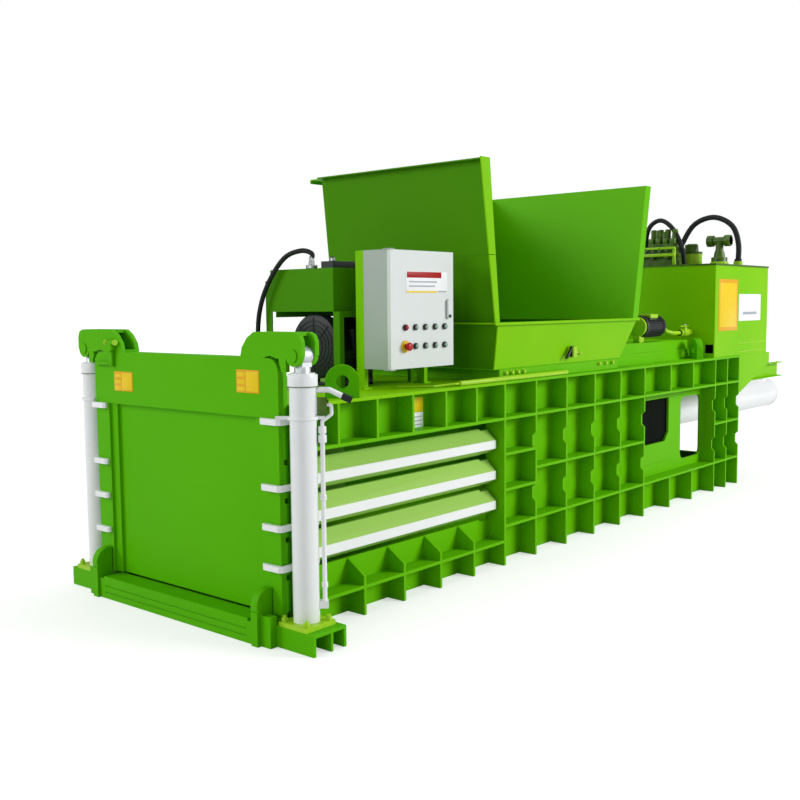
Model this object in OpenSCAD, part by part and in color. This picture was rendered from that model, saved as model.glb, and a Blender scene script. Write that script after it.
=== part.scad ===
// Horizontal recycling baler: ribbed steel body with a lift gate at the front, a feed hopper,
// a control cabinet, two hydraulic tanks and a long main cylinder that drives the ram.
// All sizes in millimetres. x runs from the gate to the rear, z is height over the floor.

/* [Body] */
// Height of the body over the floor
body_h = 1036; // [1020:1:1060]
// Inner width of the bale chamber
chamber_w = 1100; // [1080:2:1120]
// Distance from the gate plane to the rear end of the body
body_end = 4992; // [4980:1:5100]
// Thickness of the side plates
side_t = 18; // [14:1:20]
// Thickness of ribs, flanges and deck plates
rib_t = 16; // [12:1:18]
// Depth of the ribs outside the side plates
rib_depth = 109; // [106:1:112]
// Height of the chamber floor over the ground
floor_z = 145; // [142:1:148]
// Middle heights of the four wire slots, lowest first
slot_levels = [274, 443, 615.5, 784.5]; // [200:0.5:900]
// Height of a wire slot
slot_h = 24; // [18:1:28]
// Height of the outer face of a rail
rail_face = 44; // [38:1:50]
// Middle heights of the gate claws, lowest first
claw_levels = [335, 512, 686, 972]; // [250:1:990]
// Thickness of a gate claw
claw_t = 28; // [22:1:34]

/* [Gate and lift] */
// Width of the gate panel
gate_w = 1280; // [1260:2:1284]
// Thickness of the gate panel
gate_t = 62; // [58:1:63]
// Outer diameter of a lift cylinder
lift_od = 115; // [112:1:118]
// Bore of a lift cylinder
lift_bore = 100; // [94:1:102]
// Diameter of a lift rod
lift_rod_d = 70; // [56:1:72]
// Diameter of a lift pin hole
pin_hole = 45; // [38:1:48]

/* [Ram and main cylinder] */
// Outer diameter of the main cylinder
main_od = 277; // [270:1:284]
// Bore of the main cylinder
main_bore = 230; // [220:1:236]
// Diameter of the main rod
main_rod_d = 150; // [130:1:160]
// Height of the main cylinder axis
main_z = 540; // [530:1:550]
// Length of the ram box
ram_len = 877; // [850:1:900]

/* [Hopper] */
// Height of the hopper rim over the floor
hopper_top = 2236; // [2200:1:2260]
// Thickness of the hopper sheet
sheet_t = 8; // [5:1:10]
// Height of the low feed lip over the floor
lip_z = 1362; // [1352:1:1372]

/* [Control cabinet] */
// Width of the cabinet
cab_w = 509; // [500:1:516]
// Height of the cabinet
cab_h = 598; // [590:1:604]
// Depth of the cabinet with its door
cab_d = 180; // [172:1:190]
// Distance between neighbouring buttons
button_step = 80; // [76:1:82]

/* [Power units] */
// Length of the rear oil tank
tank_len = 1070; // [1050:1:1090]
// Height of the rear oil tank over the floor
tank_top = 1742; // [1720:1:1760]
// Diameter of the loop hoses
hose_d = 44; // [36:1:48]

/* [Hidden] */
$fn = 48;
ci = chamber_w / 2;
sp = ci + side_t;
hw = sp + rib_depth;
deck = body_h;
under = deck - rib_t;
front_x = 84;
post_x = 1687;
side_x0 = 130;
side_x1 = post_x - rib_t / 2;
feed_x0 = 1706;
feed_x1 = 2990;
bay_x = 3356;
row_z = slot_levels[3] + 44.5;
low_z = 222;
gate_top = deck + 206;
gate_x0 = 80 - gate_t;
side_y = hw + 4;
eye_z = gate_top + 13;
eye_y = hw + 101;
lift_x = 40;
lift_z0 = 115;
gland_z = gate_top - 115;
clear = 0.05;
lap = 1;
gate_face = -12;
claw_x = -36;
claw_side = hw + 9;
strap_z = claw_levels[3] + claw_t / 2;
lug_h = 74;
cover_h = 142;
base_z = deck + 70;
rim_z = lip_z - 10;
cab_x = 870;
cab_y = -553;
cab_z = 1140;
door_t = 23;
door_gap = 1;
hinge_x = cab_x + 4;
hinge_y = cab_y + 4;
pin_r = 4;
tank_x = 4517;
tank_y = -665;
x_mid = 3641.5;
TOP_RIBS = [362, 627, 892, 1157, 1422];
FOOT_RIBS = [524, 815, 1106, 1396];
GRID_RIBS = [2004, 2342, 2680, 3018];
REAR_RIBS = [4526, 4753, body_end - 8];
BUTTONS = [[0, 1], [1, 1], [2, 1], [3, 1], [4, 1], [1, 0], [2, 0], [3, 0], [4, 0]];

// ---- helpers ----

module place() translate([-x_mid, 0, 0]) children();

module both() {
  children();
  mirror([0, 1, 0]) children();
}

module block(x0, x1, y0, y1, z0, z1) {
  translate([x0, y0, z0]) cube([x1 - x0, y1 - y0, z1 - z0]);
}

// a drawing in the y-z plane, thickened from x0 to x1
module slab_yz(x0, x1) {
  translate([x0, 0, 0]) rotate([90, 0, 90]) linear_extrude(x1 - x0) children();
}

// a drawing in the x-z plane, thickened from y0 to y1
module slab_xz(y0, y1) {
  translate([0, y1, 0]) rotate([90, 0, 0]) linear_extrude(y1 - y0) children();
}

module rod_x(x0, x1, y, z, r) {
  translate([x0, y, z]) rotate([0, 90, 0]) cylinder(h = x1 - x0, r = r);
}

module rod_y(y0, y1, x, z, r) {
  translate([x, y1, z]) rotate([90, 0, 0]) cylinder(h = y1 - y0, r = r);
}

module rod_z(z0, z1, x, y, r) {
  translate([x, y, z0]) cylinder(h = z1 - z0, r = r);
}

module hex_z(z0, z1, x, y, r) {
  translate([x, y, z0]) cylinder(h = z1 - z0, r = r, $fn = 6);
}

// a round bar from point a to point b
module bar(a, b, r) {
  d = b - a;
  l = norm(d);
  translate(a) rotate([0, acos(d[2] / l), atan2(d[1], d[0])]) cylinder(h = l, r = r);
}

function unit(v) = v / norm(v);
function turn(p, i) = acos(unit(p[i] - p[i - 1]) * unit(p[i + 1] - p[i]));
function trim(p, i, bend) = (i == 0 || i == len(p) - 1) ? 0 : bend * tan(turn(p, i) / 2);

// a pipe or hose along a chain of points, with a round bend at each inner point
module run(p, r, bend) {
  for (i = [0:len(p) - 2]) {
    u = unit(p[i + 1] - p[i]);
    a = i == 0 ? p[i] : p[i] + u * (trim(p, i, bend) - lap);
    b = i == len(p) - 2 ? p[i + 1] : p[i + 1] - u * (trim(p, i + 1, bend) - lap);
    bar(a, b, r);
  }
  for (i = [1:len(p) - 2]) {
    u = unit(p[i] - p[i - 1]);
    v = unit(p[i + 1] - p[i]);
    w = unit(v - u * (u * v));
    n = cross(u, w);
    c = p[i] - u * trim(p, i, bend) + w * bend;
    multmatrix([[-w[0], u[0], n[0], c[0]], [-w[1], u[1], n[1], c[1]], [-w[2], u[2], n[2], c[2]], [0, 0, 0, 1]])
      rotate_extrude(angle = turn(p, i)) translate([bend, 0]) circle(r = r + 0.3);
  }
}

// half a hose loop that stands in the y-z plane
module half_loop(x, y, z, big_r, r) {
  translate([x, y, z]) rotate([90, 0, 90]) rotate_extrude(angle = 180) translate([big_r, 0]) circle(r = r);
}

// an outer rib plate in the y-z plane with wavy notches in its free edge
module rib(x, z0, z1, notches) {
  slab_yz(x - rib_t / 2, x + rib_t / 2)
  difference() {
    translate([sp, z0]) square([rib_depth, z1 - z0]);
    for (z = notches) polygon([[hw + 1, z - 55], [hw - 22, z - 32], [hw - 22, z + 32], [hw + 1, z + 55]]);
  }
}

// a flat shelf between two ribs
module shelf(x0, x1, z) {
  block(x0, x1, sp, hw, z - rib_t / 2, z + rib_t / 2);
}

// ---- front frame ----

module base_beam() color("#5fae00") {
  block(-47, 150, -907, 907, 80, 95);
  block(-47, -32, -907, 907, 0, 80);
  block(55, 70, -907, 907, 0, 80);
  block(135, 150, -907, 907, 0, 80);
}

module sill_plates() color("#56a300") difference() {
  union() {
    block(-94, -47, -(hw - 94), hw - 94, 0, 101);
    block(-94, 14, -(ci - 5), ci - 5, 95, 112);
  }
  for (z = [30, 62]) block(-95, -88, -(hw - 140), hw - 140, z, z + 5);
}

module side_guards() color("#7cc000") both() {
  slab_xz(hw - 94, hw - 53) {
    difference() {
      union() {
        translate([-107, 0]) square([89, 150]);
        translate([-37, 0]) square([19, 247]);
        intersection() {
          translate([-37, 177]) circle(r = 70);
          translate([-107, 100]) square([89, 150]);
        }
      }
      translate([-47, -1]) square([200, 96]);
    }
  }
  block(-85, -47, hw - 53, hw + 6, 0, 138);
}

module front_posts() color("#6cb800") both() {
  block(front_x, side_x0, ci, hw, 95, under);
}

module gate_claws() color("#eef0ee") both() {
  for (z = claw_levels) translate([0, 0, z - claw_t / 2]) linear_extrude(claw_t)
    polygon([[claw_x + 8, hw - 97], [claw_x, hw - 85], [claw_x, hw + 10], [claw_x + 15, hw + 25], [200, hw + 25], [200, hw],
      [front_x, hw], [front_x, claw_side], [gate_face - 2, claw_side], [gate_face - 2, hw - 97]]);
}

// ---- bale chamber ----

module chamber_roof() color("#8fca10") {
  block(front_x, feed_x0, -hw, hw, under, deck);
}

module floor_plate() color("#4f8f00") {
  block(front_x, body_end - 8, -ci, ci, floor_z - rib_t, floor_z);
}

module floor_ribs() color("#3c7800") {
  block(100, 116, -ci, ci, 95, floor_z - rib_t);
  for (x = concat(FOOT_RIBS, [post_x], GRID_RIBS, [bay_x, 3755, 4127], REAR_RIBS))
    block(x - rib_t / 2, x + rib_t / 2, -ci, ci, 0, floor_z - rib_t);
  for (y = [-200, 200]) block(200, body_end - 16, y - rib_t / 2, y + rib_t / 2, 20, floor_z - rib_t);
}

module top_panels() color("#6cb800") both() {
  z0 = slot_levels[3] + slot_h / 2;
  difference() {
    block(side_x0, side_x1, ci, sp, z0, under);
    block(1590, side_x1 + 1, ci - 1, sp + 1, z0 - 1, z0 + 10);
  }
  shelf(side_x0, side_x1, row_z);
  for (x = TOP_RIBS) rib(x, row_z, under, []);
}

module rail_bars() color("#f1f3f0") both() {
  for (i = [0:2]) {
    z0 = slot_levels[i] + slot_h / 2;
    z1 = slot_levels[i + 1] - slot_h / 2;
    f0 = z0 + 36;
    f1 = f0 + rail_face;
    difference() {
      union() {
        block(side_x0, side_x1, ci, sp, z0, z1);
        slab_yz(side_x0, side_x1 - 20)
          polygon([[sp - 1, z0], [sp, z0], [sp + 66, f0], [sp + 66, f1], [sp, z1], [sp - 1, z1]]);
      }
      slab_yz(side_x0 - 1, side_x1 + 1)
        polygon([[sp, z0 + 16], [sp + 54, f0 + 7], [sp + 54, f1 - 7], [sp, z1 - 16]]);
      block(1590, side_x1 + 1, ci - 1, sp + 10, z0 - 1, z0 + 10);
      block(1590, side_x1 + 1, ci - 1, sp + 10, z1 - 10, z1 + 1);
    }
  }
}

module foot_panels() color("#7cc000") both() {
  z1 = slot_levels[0] - slot_h / 2;
  difference() {
    union() {
      block(side_x0, side_x1, ci, sp, 0, z1);
      block(side_x0, side_x1, sp, hw, floor_z - rib_t, floor_z);
    }
    block(side_x0 - 1, 150, ci - 1, sp + 1, -1, 95);
    block(1590, side_x1 + 1, ci - 1, sp + 1, z1 - 10, z1 + 1);
  }
  for (x = FOOT_RIBS) slab_yz(x - rib_t / 2, x + rib_t / 2)
    polygon([[sp, 0], [hw, 0], [hw, 190], [sp, z1]]);
}

// ---- press box and rear bay ----

module press_sides() color("#6cb800") both() {
  block(side_x1, bay_x - rib_t / 2, ci, sp, 0, under);
  block(feed_x0, feed_x1, ci, hw, under, deck);
  rib(post_x, 0, under, []);
  for (x = GRID_RIBS) rib(x, 0, under, [673, 370]);
  shelf(post_x, bay_x - rib_t / 2, row_z);
  shelf(post_x, bay_x - rib_t / 2, low_z);
  shelf(GRID_RIBS[0], bay_x - rib_t / 2, 517);
  shelf(post_x, GRID_RIBS[0], 629);
  shelf(post_x, GRID_RIBS[0], 428);
}

module rear_sides() color("#6cb800") both() {
  difference() {
    block(bay_x - rib_t / 2, body_end, ci, sp, 0, under);
    // maintenance window beside the ram
    slab_xz(ci - 1, sp + 1) polygon([[3400, 454], [3890, 454], [3952, 520], [3952, 772], [3400, 772]]);
    // tall window in front of the cylinder head
    slab_xz(ci - 1, sp + 1) {
      translate([4153, 345]) square([347, 357]);
      translate([4209, 289]) square([235, 469]);
      for (p = [[4209, 345], [4444, 345], [4209, 702], [4444, 702]]) translate(p) circle(r = 56);
    }
    block(3540, 4018, sp - 2, sp + 1, 306, 310);
  }
  rib(bay_x, 0, under, [673, 370]);
  for (x = [3755, 4127]) {
    rib(x, row_z, under, []);
    rib(x, 0, low_z, []);
  }
  for (x = REAR_RIBS) rib(x, 0, under, [673, 370]);
  shelf(bay_x, body_end - 8, row_z);
  shelf(bay_x, body_end - 8, low_z);
  shelf(REAR_RIBS[0], body_end - 8, 525);
}

module rear_deck() color("#8fca10") {
  block(feed_x1, body_end, -hw, hw, under, deck);
  // stepped cover over the ram, narrow enough to pass between the lugs
  for (p = [[522, 0, 20], [517, 20, 44], [512, 44, 72], [500, 72, cover_h]])
    block(3120, 4400, -p[0], p[0], deck + p[1], deck + p[2]);
}

module rear_frame() color("#4f8f00") difference() {
  union() {
    block(4934, body_end - 8, -ci, ci, 800, under);
    block(4934, body_end - 8, -ci, ci, floor_z, 230);
    block(4934, body_end - 8, -176, 176, 200, 820);
  }
  rod_x(4900, body_end + 5, 0, main_z, main_od / 2 + 0.5);
}

// ---- gate ----

module gate_panel() color("#55a400") {
  difference() {
    block(gate_x0, 80, -gate_w / 2, gate_w / 2, 118, gate_top);
    for (z = slot_levels) block(50, 81, -gate_w / 2 - 1, gate_w / 2 + 1, z - slot_h / 2, z + slot_h / 2);
  }
  // stepped edge bars on which the claws close
  both() {
    block(2, gate_x0, 519, 570, 118, 984);
    block(gate_face, gate_x0, 570, side_y, 118, 984);
  }
}

module gate_header() color("#58a800") slab_yz(gate_face, gate_x0) {
  translate([-(side_y + 2), 984]) square([2 * (side_y + 2), gate_top - 1044]);
  translate([-(hw - 44), 984]) square([2 * (hw - 44), gate_top - 984]);
  for (s = [-1, 1]) translate([s * (side_y - 58), gate_top - 60]) circle(r = 60);
}

module arm_outline() {
  polygon([[443, gate_top], [455, gate_top + 45], [490, gate_top + 86], [532, gate_top + 111],
    [eye_y + 10, gate_top + 111], [eye_y + 38, gate_top + 99], [eye_y + 50, gate_top + 71],
    [eye_y + 50, gate_top + 13], [eye_y + 32, gate_top]]);
  translate([eye_y, eye_z]) circle(r = 45);
}

module gate_arms() color("#62b000") both() difference() {
  union() {
    slab_yz(-12, 11) {
      difference() {
        union() {
          arm_outline();
          translate([hw + 14, gate_top - 57]) square([42, 60]);
        }
        translate([hw - 44, gate_top - 60]) circle(r = 70);
        translate([hw - 60, gate_top - 200]) square([76, 140]);
        translate([400, gate_top - 200]) square([hw - 444, 200]);
      }
    }
    slab_yz(69, 92) difference() {
      arm_outline();
      translate([400, gate_top - 60]) square([hw + 14 - 400, 60]);
    }
    block(11, 69, 532, eye_y + 10, gate_top + 95, gate_top + 111);
    block(11, 69, 443, 700, gate_top, gate_top + 12);
  }
  rod_x(-20, 100, eye_y, eye_z, pin_hole / 2);
}

module lift_rods() color("#e9ebec") both() difference() {
  union() {
    rod_z(lift_z0 + 30.5, lift_z0 + 90, lift_x, eye_y, lift_bore / 2 - clear);
    rod_z(lift_z0 + 80, eye_z - 48, lift_x, eye_y, lift_rod_d / 2);
    block(12, 68, eye_y - 30, eye_y + 30, eye_z - 48, eye_z);
    rod_x(12, 68, eye_y, eye_z, 42);
  }
  rod_x(0, 80, eye_y, eye_z, pin_hole / 2);
}

module lift_pins() color("#b9bdbd") both() {
  rod_x(-18, 98, eye_y, eye_z, pin_hole / 2 - clear);
  rod_x(-18, -12, eye_y, eye_z, 26);
  rod_x(92, 98, eye_y, eye_z, 26);
}

// ---- lift cylinders ----

module lift_barrels() color("#f2f3f3") both() {
  difference() {
    union() {
      rod_z(lift_z0, gland_z, lift_x, eye_y, lift_od / 2);
    }
    rod_z(lift_z0 + 30, gland_z + 1, lift_x, eye_y, lift_bore / 2);
  }
  difference() {
    union() {
      rod_z(gland_z, gland_z + 49, lift_x, eye_y, 64);
      rod_z(gland_z + 49, gland_z + 55, lift_x, eye_y, 54);
    }
    rod_z(gland_z - 1, gland_z + 60, lift_x, eye_y, lift_rod_d / 2 + clear);
  }
}

module lift_bases() color("#9ccf3a") both() {
  block(-46, 130, hw + 16, hw + 186, 95, lift_z0);
  for (x = [-26, 106]) for (y = [hw + 33, hw + 168]) {
    hex_z(lift_z0, lift_z0 + 16, x, y, 15);
    rod_z(lift_z0 + 16, lift_z0 + 26, x, y, 8);
  }
}

module lift_pipes() color("#e4e7e7") both() translate([lift_x, eye_y, 0]) rotate([0, 0, 50]) {
  // port block at the barrel foot, valve block near the head, and the strap that lies on the top claw
  difference() {
    union() {
      block(50, 94, -16, 16, 172, 204);
      block(50, 98, -15, 15, gland_z - 118, gland_z - 52);
      rod_z(strap_z, strap_z + 14, 0, 0, lift_od / 2 + 8);
      block(58, 92, -14, 14, strap_z, strap_z + 14);
      block(-118, -58, -9, 9, strap_z, strap_z + 14);
    }
    rod_z(160, gland_z, 0, 0, lift_od / 2 + 0.1);
  }
  rod_z(204, gland_z - 240, 80, 0, 10);
  rod_z(gland_z - 240, gland_z - 208, 80, 0, 18);
  rod_z(gland_z - 208, gland_z - 200, 80, 0, 12);
  rod_z(gland_z - 200, gland_z - 172, 80, 0, 17);
  run([[80, 0, gland_z - 172], [80, 0, gland_z - 150], [120, 0, gland_z - 120], [120, 0, gland_z - 80], [98, 0, gland_z - 80]], 8, 10);
  // upper elbow with the hose that leaves over the deck edge
  run([[lift_od / 2 + 0.3, 0, gland_z - 17], [112, 0, gland_z - 17], [205, 0, gland_z - 62]], 12, 24);
}

// ---- lifting lugs ----

// a round lifting lug that stands across the deck corner, turned by an angle
module lug(x, a) translate([x, 600, 0]) rotate([0, 0, a]) difference() {
  slab_xz(-25, 25) {
    translate([0, deck + lug_h]) circle(r = 80);
    translate([-80, deck]) square([160, lug_h]);
  }
  block(-90, 90, -30, 30, deck - 60, deck);
  rod_y(-30, 30, 0, deck + lug_h, 31);
}

module lifting_lugs() color("#8fca10") both() {
  lug(467, 45);
  lug(4336, -45);
}

// ---- hopper ----

// inner faces of the hopper walls, above and below the feed lip
function front_in(z) = z >= lip_z ? 1631 - (z - lip_z) * 0.1053 : 1641 - (z - base_z) * 0.04;
function rear_in(z) = z >= lip_z ? 3164 + (z - lip_z) * 0.1831 : 3054 + (z - base_z) * 0.6875;
function lip_y(z) = -640 - (z - base_z) * 0.1333;

// the space behind the leaning feed panel, below the lip
module behind_panel() intersection() {
  children();
  slab_yz(1500, 3400) polygon([[lip_y(base_z) + sheet_t, base_z], [lip_y(rim_z) + sheet_t, rim_z], [600, rim_z], [600, base_z]]);
}

module hopper_front() color("#4f9e00") {
  difference() {
    union() {
      slab_xz(-672, 566) polygon([[front_in(lip_z) - sheet_t, lip_z], [front_in(hopper_top) - sheet_t, hopper_top],
        [front_in(hopper_top), hopper_top], [front_in(lip_z), lip_z]]);
      slab_xz(-680, -672) polygon([[front_in(lip_z) - 42, lip_z], [front_in(hopper_top) - 81, hopper_top],
        [front_in(hopper_top), hopper_top], [front_in(lip_z), lip_z]]);
      slab_xz(-672, 566) polygon([[front_in(hopper_top) - 48, hopper_top - sheet_t], [front_in(hopper_top) - 48, hopper_top],
        [front_in(hopper_top) - 7, hopper_top], [front_in(hopper_top) - 7, hopper_top - sheet_t]]);
    }
    block(1400, front_in(1727) - sheet_t + 2, -681, 567, 1725, 1729);
  }
  behind_panel() slab_xz(-672, 566) polygon([[front_in(base_z) - sheet_t, base_z], [front_in(rim_z) - sheet_t, rim_z],
    [front_in(rim_z), rim_z], [front_in(base_z), base_z]]);
}

module hopper_rear() color("#6fb60a") {
  slab_xz(-672, 566) polygon([[rear_in(lip_z) + sheet_t, lip_z], [rear_in(hopper_top) + sheet_t, hopper_top],
    [rear_in(hopper_top), hopper_top], [rear_in(lip_z), lip_z]]);
  slab_xz(-680, -672) polygon([[rear_in(lip_z) + 71, lip_z], [rear_in(hopper_top) + 72, hopper_top],
    [rear_in(hopper_top), hopper_top], [rear_in(lip_z), lip_z]]);
  slab_xz(-672, 566) polygon([[rear_in(hopper_top) + 48, hopper_top - sheet_t], [rear_in(hopper_top) + 48, hopper_top],
    [rear_in(hopper_top) + 7, hopper_top], [rear_in(hopper_top) + 7, hopper_top - sheet_t]]);
  behind_panel() slab_xz(-672, 566) polygon([[rear_in(base_z) + 10, base_z], [rear_in(rim_z) + 10, rim_z],
    [rear_in(rim_z), rim_z], [rear_in(base_z), base_z]]);
}

module hopper_far() color("#5aa804") {
  slab_xz(566, 566 + sheet_t) polygon([[front_in(base_z), base_z], [front_in(rim_z), rim_z],
    [rear_in(rim_z), rim_z], [rear_in(base_z), base_z]]);
  slab_xz(566, 566 + sheet_t) polygon([[front_in(lip_z), lip_z], [front_in(hopper_top), hopper_top],
    [rear_in(hopper_top), hopper_top], [rear_in(lip_z), lip_z]]);
  block(front_in(hopper_top), rear_in(hopper_top), 566, 674, hopper_top - sheet_t, hopper_top);
  block(front_in(hopper_top), rear_in(hopper_top), 666, 674, hopper_top - 25, hopper_top);
}

module hopper_lip() color("#7cc000") {
  // leaning feed panel
  intersection() {
    slab_yz(1500, 3400) polygon([[lip_y(base_z), base_z], [lip_y(rim_z), rim_z], [lip_y(rim_z) + sheet_t, rim_z],
      [lip_y(base_z) + sheet_t, base_z]]);
    slab_xz(-700, -500) polygon([[front_in(base_z) - sheet_t, base_z], [front_in(rim_z) - sheet_t, rim_z],
      [rear_in(rim_z) + 10, rim_z], [rear_in(base_z) + 10, base_z]]);
  }
  // flange ring on which the upper hopper stands, thicker along the lip
  difference() {
    union() {
      block(1580, 3244, -690, 640, rim_z, lip_z);
      block(1580, 3244, -690, -680, rim_z - 6, lip_z);
    }
    block(front_in(lip_z), rear_in(lip_z), -660, 566, rim_z - 1, lip_z + 1);
  }
}

module hopper_base() color("#6cb800") {
  difference() {
    block(1690, 3050, -636, 636, deck, base_z - 6);
    block(feed_x0, feed_x1, -ci, ci, deck - 1, base_z);
    block(feed_x1 + 12, 3038, -624, 624, deck - 1, base_z);
    for (s = [-1, 1]) block(1702, 3038, s > 0 ? ci + 12 : -624, s > 0 ? 624 : -ci - 12, deck - 1, base_z);
  }
  difference() {
    block(1628, 3068, -640, 640, base_z - 6, base_z);
    block(feed_x0, feed_x1, -ci, ci, base_z - 7, base_z + 1);
  }
}

// ---- control cabinet ----

module cabinet_box() color("#c9cecb") {
  y0 = cab_y + door_t + door_gap;
  difference() {
    block(cab_x, cab_x + cab_w, y0, cab_y + cab_d, cab_z, cab_z + cab_h);
    block(cab_x + 4, cab_x + cab_w - 4, y0 - 1, cab_y + cab_d - 4, cab_z + 4, cab_z + cab_h - 4);
  }
  // hinge tabs over and under the door
  for (z = [cab_z - 4, cab_z + cab_h]) difference() {
    block(cab_x - 6, cab_x + 26, cab_y - 6, y0 + 20, z, z + 4);
    rod_z(z - 1, z + 5, hinge_x, hinge_y, pin_r + clear);
  }
}

module cabinet_stand() color("#7cc000") {
  y0 = cab_y + cab_d;
  for (x = [cab_x, cab_x + cab_w - 28]) {
    block(x, x + 28, y0, y0 + 55, deck, cab_z + cab_h);
    block(x - 12, x + 40, y0 - 12, y0 + 67, deck, deck + 8);
  }
  block(cab_x + 28, cab_x + cab_w - 28, y0, y0 + 6, cab_z + 40, cab_z + 90);
  block(cab_x + 28, cab_x + cab_w - 28, y0, y0 + 6, cab_z + cab_h - 90, cab_z + cab_h - 40);
}

module cabinet_door() color("#dfe3e0") {
  z0 = cab_z + 1;
  z1 = cab_z + cab_h - 1;
  difference() {
    block(cab_x, cab_x + cab_w, cab_y, cab_y + door_t, z0, z1);
    block(cab_x + 9, cab_x + cab_w - 5, cab_y + 5, cab_y + door_t + 1, z0 + 4, z1 - 4);
    for (c = [0:4]) for (r = [0:1]) rod_y(cab_y - 1, cab_y + 6, cab_x + 108 + c * button_step, cab_z + 113 + r * 96, 11.1);
    rod_y(cab_y - 1, cab_y + 6, cab_x + cab_w - 50, cab_z + 310, 8.1);
  }
  rod_z(cab_z - 4, z0 + 2, hinge_x, hinge_y, pin_r);
  rod_z(z1 - 2, cab_z + cab_h + 4, hinge_x, hinge_y, pin_r);
}

module button_bezels() color("#2a2d2e") {
  for (b = BUTTONS) difference() {
    rod_y(cab_y - 5, cab_y, cab_x + 108 + b[0] * button_step, cab_z + 113 + b[1] * 96, 16);
    rod_y(cab_y - 6, cab_y + 1, cab_x + 108 + b[0] * button_step, cab_z + 113 + b[1] * 96, 11.1);
  }
  difference() {
    rod_y(cab_y - 6, cab_y, cab_x + 108, cab_z + 113, 30);
    rod_y(cab_y - 7, cab_y + 1, cab_x + 108, cab_z + 113, 11.1);
  }
}

module push_button(i) {
  b = BUTTONS[i - 1];
  rod_y(cab_y - 9, cab_y + 14, cab_x + 108 + b[0] * button_step, cab_z + 113 + b[1] * 96, 11);
}

module e_stop() color("#c3141b") {
  rod_y(cab_y - 24, cab_y + 14, cab_x + 108, cab_z + 113, 11);
  rod_y(cab_y - 40, cab_y - 18, cab_x + 108, cab_z + 113, 20);
}

module door_lock() color("#d4d8d6") {
  x = cab_x + cab_w - 50;
  z = cab_z + 310;
  rod_y(cab_y - 4, cab_y + 14, x, z, 8);
  slab_xz(cab_y - 16, cab_y - 4) {
    translate([x - 12, z - 50]) square([24, 80]);
    translate([x, z + 30]) circle(r = 12);
    translate([x, z - 50]) circle(r = 12);
  }
}

// ---- front power unit ----

module front_tank() color("#6fb60a") {
  difference() {
    block(806, 1400, -222, 250, 1432, 1656);
    block(812, 1394, -216, 244, 1438, 1650);
  }
  // angle-iron legs, one of them lapped on the tank side
  for (x = [806, 1394]) {
    block(x, x + 6, -264, -218, deck, 1432);
    block(x, x + 6, 250, 290, deck, 1598);
    block(x, x + 6, 240, 250, deck, 1432);
  }
  block(812, 838, -264, -258, deck, 1432);
  block(1368, 1394, -264, -258, deck, 1432);
  block(812, 838, 284, 290, deck, 1598);
  block(1368, 1394, 284, 290, deck, 1598);
  for (y = [-258, 212]) block(812, 1394, y, y + 6, 1402, 1432);
  block(812, 1394, -258, -212, 1426, 1432);
}

module front_lid() color("#1d2022") {
  block(814, 1120, -214, -130, 1656, 1690);
  rod_z(1690, 1712, 832, -196, 13);
  rod_z(1656, 1700, 1220, 40, 60);
}

module front_motor() color("#26292b") {
  rod_x(858, 900, -38, 1250, 172);
  rod_x(900, 1180, -38, 1250, 150);
  rod_x(1180, 1230, -38, 1250, 110);
  block(930, 1150, -140, 64, deck, 1130);
  block(960, 1100, -212, -150, 1230, 1340);
  rod_x(838, 858, -38, 1250, 70);
  block(840, 858, -30, 14, 1350, 1402);
}

module front_hose() color("#17191b") {
  rod_z(1656, 1680, 830, -45, 22);
  run([[830, -45, 1680], [830, -45, 1740], [770, 140, 1700], [770, 322, 1420], [770, 322, deck]], 13, 36);
}

// ---- rear power unit ----

module rear_tank() color("#86c40a") difference() {
  block(tank_x, tank_x + tank_len, tank_y, 400, deck, tank_top);
  block(tank_x + 8, tank_x + tank_len - 8, tank_y + 8, 392, 1160, tank_top + 1);
  block(tank_x + 8, tank_x + tank_len - 8, tank_y + 8, 392, deck - 1, 1150);
  block(tank_x - 1, tank_x + 9, tank_y + 9, tank_y + 75, 1070, 1137);
}

module rear_support() color("#8fca10") {
  // side gusset under the tank overhang
  slab_xz(tank_y, tank_y + 8) polygon([[body_end, 735], [5040, 735], [5659, 949], [5659, deck], [body_end, deck]]);
  block(body_end, 5659, tank_y + 8, 400, under, deck);
  // channels that run on to the rear
  both() difference() {
    block(body_end, 6287, -560, -500, 793, 920);
    block(body_end - 1, 6288, -561, -508, 801, 912);
  }
  block(body_end, body_end + 8, tank_y + 8, 560, 770, under);
  for (y = [tank_y + 8, 392]) block(5100, 5108, y, y + 8, 920, under);
  for (x = [5300, 6200]) block(x, x + 60, -500, 500, 793, 853);
}

module rear_valves() color("#2b3a26") {
  block(tank_x - 4, tank_x + tank_len + 4, tank_y - 4, 404, tank_top, tank_top + 14);
  z = tank_top + 14;
  // filler and breather with two round heads
  rod_z(z, z + 60, 4900, -528, 62);
  rod_z(z + 60, z + 178, 4900, -528, 28);
  rod_y(-600, -452, 4900, z + 190, 30);
  rod_y(-620, -572, 4900, z + 190, 44);
  rod_y(-480, -432, 4900, z + 190, 44);
  // motor and pump standing on the lid
  rod_z(z, z + 110, 4900, -300, 74);
  rod_z(z + 110, z + 170, 4900, -285, 44);
  // stack of valve blocks
  block(4560, 4760, -300, 40, z, z + 40);
  block(4580, 4740, -290, 30, z + 40, z + 62);
  block(4570, 4750, -280, 20, z + 62, z + 100);
  block(4600, 4720, -270, -60, z + 100, z + 170);
  rod_y(-330, 60, 4600, z + 80, 16);
  rod_y(-300, -42, 4640, z + 130, 16);
  for (p = [[-240, 198], [-180, 268], [-120, 280]]) rod_z(z + 170, z + p[1], 4660, p[0], 26);
}

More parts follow.
